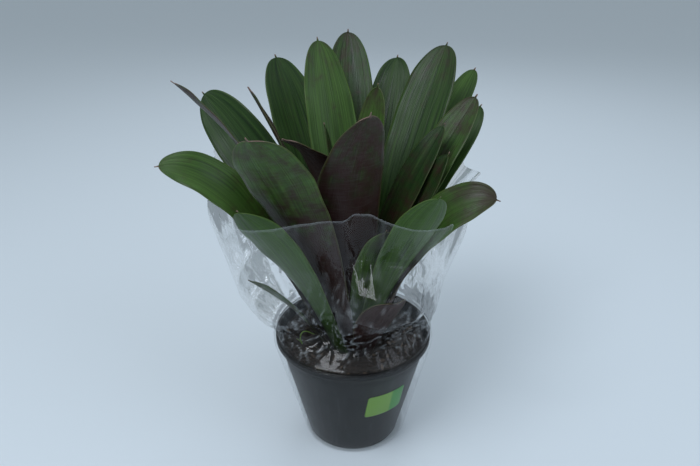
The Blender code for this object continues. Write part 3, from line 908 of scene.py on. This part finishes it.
def make_label(settings):
    """A plain two-tone label with rounded corners, laid on the pot's wall."""
    shape = bmesh.new()
    bmesh.ops.create_grid(shape, x_segments=40, y_segments=28, size=1.0)
    uv = shape.loops.layers.uv.new("face")
    for face in shape.faces:
        for loop in face.loops:
            loop[uv].uv = (loop.vert.co.x / 2 + 0.5, loop.vert.co.y / 2 + 0.5)
    flat_x, flat_y = LABEL_WIDTH / 2 - LABEL_CORNER, LABEL_HEIGHT / 2 - LABEL_CORNER
    for vertex in shape.verts:
        x, y = vertex.co.x * LABEL_WIDTH / 2, vertex.co.y * LABEL_HEIGHT / 2
        over_x, over_y = abs(x) - flat_x, abs(y) - flat_y
        if over_x > 0 and over_y > 0:
            pull = max(over_x, over_y) / hypot(over_x, over_y)
            x = (flat_x + over_x * pull) * (1 if x > 0 else -1)
            y = (flat_y + over_y * pull) * (1 if y > 0 else -1)
        level = LABEL_CENTRE + y
        radius = outer_wall_radius(level) + GAP
        angle = radians(LABEL_DIRECTION) + x / radius
        vertex.co = Vector((radius * cos(angle), radius * sin(angle), level))
    mesh = to_mesh("plain_label", shape)
    label = finish_piece("plain_label", mesh, [label_material(settings)], ["pot_label"])
    skin = label.modifiers.new("thickness", "SOLIDIFY")
    skin.thickness = LABEL_THICKNESS
    skin.offset = 1.0


class BROMELIAD_OT_pot(bpy.types.Operator):
    """Build the pot with its rolled lip and drain holes, and its plain label"""

    bl_idname = "bromeliad.pot"
    bl_label = "Pot and label"

    def execute(self, context):
        settings = context.scene.bromeliad_pot
        pot = finish_piece(
            "nursery_pot",
            spun("nursery_pot", pot_profile()),
            [pot_material(settings)],
            ["pot"],
        )
        pot.data = drilled(pot)
        pot.data.set_sharp_from_angle(angle=radians(38))
        make_label(settings)
        return {"FINISHED"}


def crown_radius():
    return leaf_base_radius(len(LEAVES) - 1) + LEAF_THICKNESS


def soil_height(radius):
    """The packed soil's surface: the hollow round the crown, then nearly level."""
    well = crown_radius() + 0.002
    last_lean = radians(FIRST_LEAN + LEAN_STEP * len(LEAVES))
    brim = well + WELL_DEPTH * tan(last_lean) + 0.004
    if radius < well:
        return well_floor()
    if radius < brim:
        return well_floor() + WELL_DEPTH * (radius - well) / (brim - well)
    return soil_top() - 0.003 * smooth_step(
        inner_wall_radius(soil_top()) - 0.008, inner_wall_radius(soil_top()), radius
    )


def rough(x, y):
    """Height of the soil's lumps, about 8 mm across, and crumbs, about 2 mm across."""
    spot = Vector((x, y, 0.0))
    return 0.0016 * noise.fractal(spot * 130, 1.0, 2.0, 4) + 0.0008 * noise.noise(spot * 420)


def make_soil(material):
    """The root ball with a crumbly top."""
    floor, top = POT_WALL + GAP, soil_top()
    edge = inner_wall_radius(top - 0.003) - GAP
    profile = [
        (0.0, floor),
        (inner_wall_radius(floor) - 0.004, floor),
        (inner_wall_radius(floor + 0.004) - GAP, floor + 0.004),
    ]
    for step in range(1, 8):
        height = floor + 0.004 + (top - 0.006 - floor - 0.004) * step / 7
        profile.append((inner_wall_radius(height) - GAP, height))
    for step in range(SOIL_RINGS + 1):
        radius = edge * (1 - step / SOIL_RINGS)
        profile.append((radius, soil_height(radius)))
    mesh = spun("root_ball", profile)
    for vertex in mesh.vertices:
        radius = hypot(vertex.co.x, vertex.co.y)
        if vertex.co.z > top - 0.02 and radius < edge - 0.0005:
            calm = smooth_step(crown_radius() + 0.001, crown_radius() + 0.012, radius)
            vertex.co.z += (rough(vertex.co.x, vertex.co.y) - 0.0004) * calm
    finish_piece("root_ball", mesh, [material], ["soil"])


def make_chips(material, count):
    """Bark chips and fibres strewn over the soil, in one mesh of small uneven flakes."""
    random = np.random.default_rng(7)
    shape = bmesh.new()
    tint = shape.verts.layers.float_color.new("tint")
    inner, outer = crown_radius() + 0.012, inner_wall_radius(soil_top()) - 0.004
    for index in range(count):
        angle = random.uniform(0, 2 * pi)
        radius = sqrt(random.uniform(inner**2, outer**2))
        long = 0.0022 + 0.0100 * random.random() ** 2.6
        wide = long * random.uniform(0.25, 0.7)
        thick = min(wide, 0.0035) * random.uniform(0.25, 0.6)
        # nearly one in five is a thin fibre
        if random.random() < 0.18:
            long, wide, thick = random.uniform(0.006, 0.016), 0.0007, 0.0006
        reach = min(radius, outer - long / 2)
        x, y = reach * cos(angle), reach * sin(angle)
        made = bmesh.ops.create_icosphere(shape, subdivisions=1, radius=1.0)["verts"]
        tilt = Matrix.Rotation(random.uniform(-0.45, 0.45), 4, "X") @ Matrix.Rotation(
            random.uniform(-0.45, 0.45), 4, "Y"
        )
        move = (
            Matrix.Translation((x, y, soil_height(reach) + rough(x, y) + thick * 0.3 + 0.0004))
            @ Matrix.Rotation(random.uniform(0, 2 * pi), 4, "Z")
            @ tilt
            @ Matrix.Diagonal((long / 2, wide / 2, thick / 2, 1.0))
        )
        shade, pale = random.random() ** 1.3, max(0.0, random.random() * 1.6 - 1.0) ** 1.2
        for vertex in made:
            vertex.co = move @ (vertex.co * random.uniform(0.7, 1.15))
            vertex[tint] = (shade, pale, 0.0, 1.0)
    mesh = to_mesh("bark_chips", shape, False)
    finish_piece("bark_chips", mesh, [material])


def make_seedling():
    """A small shoot that arches to the right, with a second thin blade."""
    curve = bpy.data.curves.new("shoot", "CURVE")
    curve.dimensions = "3D"
    curve.bevel_depth = SEEDLING_RADIUS
    curve.bevel_resolution = 3
    curve.use_fill_caps = True
    curve.resolution_u = 10
    x, y = SEEDLING_PLACE
    foot, top = soil_top(), soil_top() + SEEDLING_HEIGHT
    for points in (
        [
            (x, y, foot, 1.0),
            (x - 0.002, y, foot + SEEDLING_HEIGHT * 0.6, 1.0),
            (x + 0.003, y, top, 0.9),
            (x + SEEDLING_REACH, y - 0.002, foot + SEEDLING_HEIGHT * 0.85, 0.4),
        ],
        [
            (x, y, foot, 0.7),
            (x - 0.003, y - 0.001, foot + 0.006, 0.7),
            (x - 0.007, y - 0.003, foot + 0.011, 0.35),
        ],
    ):
        spline = curve.splines.new("BEZIER")
        spline.bezier_points.add(len(points) - 1)
        for knot, (*spot, radius) in zip(spline.bezier_points, points):
            knot.co = spot
            knot.radius = radius
            knot.handle_left_type = "AUTO"
            knot.handle_right_type = "AUTO"
    drawn = bpy.data.objects.new("shoot", curve)
    bpy.context.scene.collection.objects.link(drawn)
    bpy.context.view_layer.update()
    mesh = applied(drawn)
    bpy.data.objects.remove(drawn, do_unlink=True)
    finish_piece("shoot", mesh, [seedling_material()], ["seedling"])


class BROMELIAD_OT_soil(bpy.types.Operator):
    """Fill the pot with crumbly peat and strew it with bark, and plant the seedling"""

    bl_idname = "bromeliad.soil"
    bl_label = "Soil, bark and seedling"

    def execute(self, context):
        settings = context.scene.bromeliad_pot
        make_soil(soil_material(settings))
        make_chips(bark_material(settings), settings.chips)
        make_seedling()
        return {"FINISHED"}


# ---------------------------------------------------------------- film sleeve


def film_knots():
    """The sleeve's outline from its lower edge to its mouth: radii and then heights at the
    right, back, left and front, and the rows up to the next knot."""
    rim = lip_radius() + FILM_STAND_OFF
    foot = outer_wall_radius(FILM_FLOOR) + FILM_STAND_OFF
    neck = FILM_NECK
    top = POT_HEIGHT
    return [
        ((foot + 0.008, foot + 0.006, foot + 0.002, foot + 0.002), (FILM_FLOOR,) * 4, 2),
        ((rim, rim, rim, rim), (top - LIP_HEIGHT,) * 4, 1),
        ((rim, rim, rim, rim), (top,) * 4, 1),
        ((rim - 0.004, rim - 0.003, rim - 0.005, rim - 0.006), (top + FILM_STAND_OFF,) * 4, 2),
        ((rim - 0.004, rim - 0.002, rim - 0.002, neck), (0.178, 0.178, 0.172, 0.200), 1),
        ((0.112, 0.120, 0.128, 0.078), (0.215, 0.215, 0.198, 0.225), 2),
        ((0.118, 0.135, 0.150, 0.090), (0.260, 0.260, 0.240, 0.290), 3),
        ((0.142, 0.160, 0.178, 0.104), (0.350, 0.360, 0.368, 0.376), 0),
    ]


def round_value(values, angle):
    """Passes smoothly round the sleeve through the values at its four sides."""
    right, back, left, front = values
    across, along = cos(angle), sin(angle)
    return (right if across > 0 else left) * across**2 + (back if along > 0 else front) * along**2


def film_target(knots, angle, row):
    """Radius and height of the outline, before the leaves push it."""
    low, mix = row
    radius = [round_value(knots[low + step][0], angle) for step in (0, 1)]
    height = [round_value(knots[low + step][1], angle) for step in (0, 1)]
    return radius[0] + (radius[1] - radius[0]) * mix, height[0] + (height[1] - height[0]) * mix


def leaf_clouds():
    """Points all over the leaves as direction, radius and height: inside, and over the mouth."""
    clouds = {True: [], False: []}
    for index, row in enumerate(LEAVES):
        stations = leaf_path(index, row)
        for step in range(CLOUD_ROWS + 1):
            for place in range(CLOUD_COLUMNS + 1):
                side = 2 * place / CLOUD_COLUMNS - 1
                x, y, z = leaf_point(row, stations, side, 1.0 - (1.0 - step / CLOUD_ROWS) ** 1.5)
                clouds[index in OVER_MOUTH].append((atan2(y, x), hypot(x, y), z))
    return np.array(clouds[False]), np.array(clouds[True])


def near_in_direction(cloud, angle, reach):
    """Which points of a cloud lie within reach to each side of a direction."""
    apart = (cloud[:, 0] - angle + pi) % (2 * pi) - pi
    return np.abs(apart) * cloud[:, 1] < reach


def film_place(knots, clouds, angle, row):
    """Radius and height of the sleeve, pushed out by the leaves inside it and kept under
    those that lie over its mouth."""
    inside, over = clouds
    radius, height = film_target(knots, angle, row)
    mouth_radius, mouth = film_target(knots, angle, (len(knots) - 2, 1.0))
    neck = film_target(knots, angle, (NECK_KNOT, 0.0))[1]
    above = over[near_in_direction(over, angle, FILM_REACH) & (over[:, 1] > mouth_radius * 0.85)]
    if len(above) and row[0] >= NECK_KNOT:
        lowered = min(mouth, above[:, 2].min() - LEAF_CLEARANCE)
        height = neck + (height - neck) * (lowered - neck) / (mouth - neck)
    if height > POT_HEIGHT + LEAF_CLEARANCE:
        level = np.abs(inside[:, 2] - height) < FILM_REACH
        beside = inside[near_in_direction(inside, angle, FILM_REACH) & level]
        if len(beside):
            radius = max(radius, beside[:, 1].max() + LEAF_CLEARANCE)
    return radius, height


def film_base(knots, clouds, coarse):
    """Radius and height on a coarse grid of directions and rows."""
    rows = [(low, step / knot[2]) for low, knot in enumerate(knots[:-1]) for step in range(knot[2])]
    rows.append((len(knots) - 2, 1.0))
    angles = [2 * pi * step / coarse for step in range(coarse)]
    return np.array([[film_place(knots, clouds, angle, row) for row in rows] for angle in angles])


def soft_mix(grid, around, up):
    """Reads the coarse grid smoothly at a share of the way round and of the way up."""
    count, rows = grid.shape[0], grid.shape[1]
    a, u = around * count, min(up, 0.99999) * (rows - 1)
    low_a, low_u = int(a), int(u)
    mix_a, mix_u = a - low_a, u - low_u
    points = []
    for step in (-1, 0, 1, 2):
        column = grid[(low_a + step) % count]
        points.append(column[low_u] * (1 - mix_u) + column[low_u + 1] * mix_u)
    p0, p1, p2, p3 = points
    return p1 + 0.5 * mix_a * (
        p2 - p0 + mix_a * (2 * p0 - 5 * p1 + 4 * p2 - p3 + mix_a * (3 * (p1 - p2) + p3 - p0))
    )


def ridge(value):
    """A crease: sharp at the top, falling off to both sides."""
    return 1.0 - min(1.0, abs(value) * 2.2)


def make_film(settings):
    """The sleeve as one thin layer, pushed out into creases round its pinched neck."""
    knots = film_knots()
    grid = film_base(knots, leaf_clouds(), FILM_DIRECTIONS)
    rows = grid.shape[1] - 1
    layers = rows * FILM_LAYERS
    shape = bmesh.new()
    bmesh.ops.create_grid(shape, x_segments=FILM_COLUMNS, y_segments=layers, size=1.0)
    crease_glint_layer = shape.verts.layers.float.new("crease_glint")
    for vertex in shape.verts:
        around, up = (vertex.co.x / 2 + 0.5) % 1.0, vertex.co.y / 2 + 0.5
        radius, height = soft_mix(grid, around, up)
        angle = 2 * pi * around
        front = max(0.0, -sin(angle)) ** 0.5
        spot = Vector((cos(angle), sin(angle), 0.0))
        low = smooth_step(0.30, 0.42, up) * (1.0 - smooth_step(0.55, 0.85, up))
        # fans of creases that run up from the pinched neck, and cross crumples at the neck
        fan = noise.noise(Vector((angle * 5.2, height * 7.0, 3.1)))
        fan_fine = noise.noise(Vector((angle * 13.0, height * 16.0, 8.4)))
        cross = noise.noise(Vector((spot.x * 5.0, spot.y * 5.0, height * 75.0)))
        fold = ridge(fan) * 0.55 + ridge(fan_fine) * 0.25 + ridge(cross) * 0.5 * low
        push = settings.crumple * (fold * (0.35 + 0.9 * low) * (0.6 + 0.6 * front))
        if height < POT_HEIGHT + 0.006:
            push *= 0.35
        radius += push
        # painted highlight: the sharpest ridges of the crumples and fans are marked to be whitened
        # where the crumpled film would glint
        sharp = smooth_step(0.90, 1.0, ridge(cross)) * low
        sharp += 0.5 * smooth_step(0.93, 1.0, ridge(fan)) * (0.25 + low)
        # the cut edges catch the light
        if not 0.4 / layers < up < 1 - 0.4 / layers:
            sharp = 0.5
        vertex[crease_glint_layer] = min(1.0, sharp)
        vertex.co = Vector((radius * cos(angle), radius * sin(angle), height + 0.3 * push * low))
    bmesh.ops.remove_doubles(shape, verts=shape.verts, dist=0.00001)
    mesh = to_mesh("clear_sleeve", shape)
    return finish_piece("clear_sleeve", mesh, [film_material()], ["film_sleeve"])


class BROMELIAD_OT_film(bpy.types.Operator):
    """Hang the clear sleeve round the leaves and the pot, creased where it is pinched"""

    bl_idname = "bromeliad.film"
    bl_label = "Film sleeve"

    def execute(self, context):
        film = make_film(context.scene.bromeliad_film)
        return {"FINISHED"}


# ---------------------------------------------------------------- stage


class BROMELIAD_OT_stage(bpy.types.Operator):
    """Set the pale floor, the soft studio light and the camera"""

    bl_idname = "bromeliad.stage"
    bl_label = "Stage"

    def execute(self, context):
        settings = context.scene.bromeliad_stage
        scene = context.scene
        shape = bmesh.new()
        bmesh.ops.create_grid(shape, x_segments=2, y_segments=2, size=FLOOR_HALF)
        bmesh.ops.translate(shape, verts=shape.verts, vec=(0, 0, -FLOOR_DROP))
        mesh = to_mesh("floor", shape, False)
        made, tree, output = blank("matt painted floor")
        shader = add(tree, "BsdfPrincipled", {"Base Color": rgba(settings.floor), "Roughness": 0.7})
        tree.links.new(shader.outputs[0], output.inputs[0])
        mesh.materials.append(made)
        floor = bpy.data.objects.new("floor", mesh)
        scene.collection.objects.link(floor)

        world = bpy.data.worlds.new("studio")
        scene.world = world
        world.use_nodes = True
        background = world.node_tree.nodes["Background"]
        background.inputs["Color"].default_value = rgba("#dbe7f0")
        background.inputs["Strength"].default_value = WORLD_STRENGTH * settings.light
        for name, place, width, power, tint in LIGHTS:
            lamp = bpy.data.lights.new(name, "AREA")
            lamp.shape = "DISK"
            lamp.size = width
            lamp.energy = power * settings.light
            lamp.color = srgb(tint)
            light = bpy.data.objects.new(name, lamp)
            scene.collection.objects.link(light)
            light.location = place
            aim = Vector(LIGHT_AIM) - light.location
            light.rotation_euler = aim.to_track_quat("-Z", "Y").to_euler()

        lens = bpy.data.cameras.new("camera")
        lens.lens = CAMERA_LENS
        lens.sensor_width = 36.0
        lens.clip_end = 100.0
        camera = bpy.data.objects.new("camera", lens)
        scene.collection.objects.link(camera)
        camera.location = CAMERA_PLACE
        camera.rotation_euler = (radians(CAMERA_TILT), 0.0, 0.0)
        scene.camera = camera
        scene.view_settings.view_transform = "Standard"
        return {"FINISHED"}


# ---------------------------------------------------------------- panel and registration


OPERATORS = (
    BROMELIAD_OT_leaves, BROMELIAD_OT_pot, BROMELIAD_OT_soil, BROMELIAD_OT_film, BROMELIAD_OT_stage
)
GROUPS = {
    "bromeliad_leaves": BROMELIAD_PG_leaves,
    "bromeliad_pot": BROMELIAD_PG_pot,
    "bromeliad_film": BROMELIAD_PG_film,
    "bromeliad_stage": BROMELIAD_PG_stage,
}


class BROMELIAD_PT_sidebar(bpy.types.Panel):
    """Sizes, colours and steps of the potted bromeliad"""

    bl_idname = "BROMELIAD_PT_sidebar"
    bl_label = "Potted bromeliad"
    bl_space_type = "VIEW_3D"
    bl_region_type = "UI"
    bl_category = "Bromeliad"

    def draw(self, context):
        for operator in OPERATORS:
            self.layout.operator(operator.bl_idname)
        for name in GROUPS:
            settings = getattr(context.scene, name)
            box = self.layout.box()
            for key in settings.__annotations__:
                box.prop(settings, key)


def register():
    for group in GROUPS.values():
        bpy.utils.register_class(group)
    for name, group in GROUPS.items():
        setattr(bpy.types.Scene, name, bpy.props.PointerProperty(type=group))
    for kind in (*OPERATORS, BROMELIAD_PT_sidebar):
        bpy.utils.register_class(kind)


def unregister():
    for kind in (BROMELIAD_PT_sidebar, *reversed(OPERATORS)):
        bpy.utils.unregister_class(kind)
    for name in GROUPS:
        delattr(bpy.types.Scene, name)
    for group in reversed(GROUPS.values()):
        bpy.utils.unregister_class(group)


def main():
    register()
    bpy.ops.bromeliad.leaves()
    bpy.ops.bromeliad.pot()
    bpy.ops.bromeliad.soil()
    bpy.ops.bromeliad.film()
    bpy.ops.bromeliad.stage()


if __name__ == "__main__":
    main()
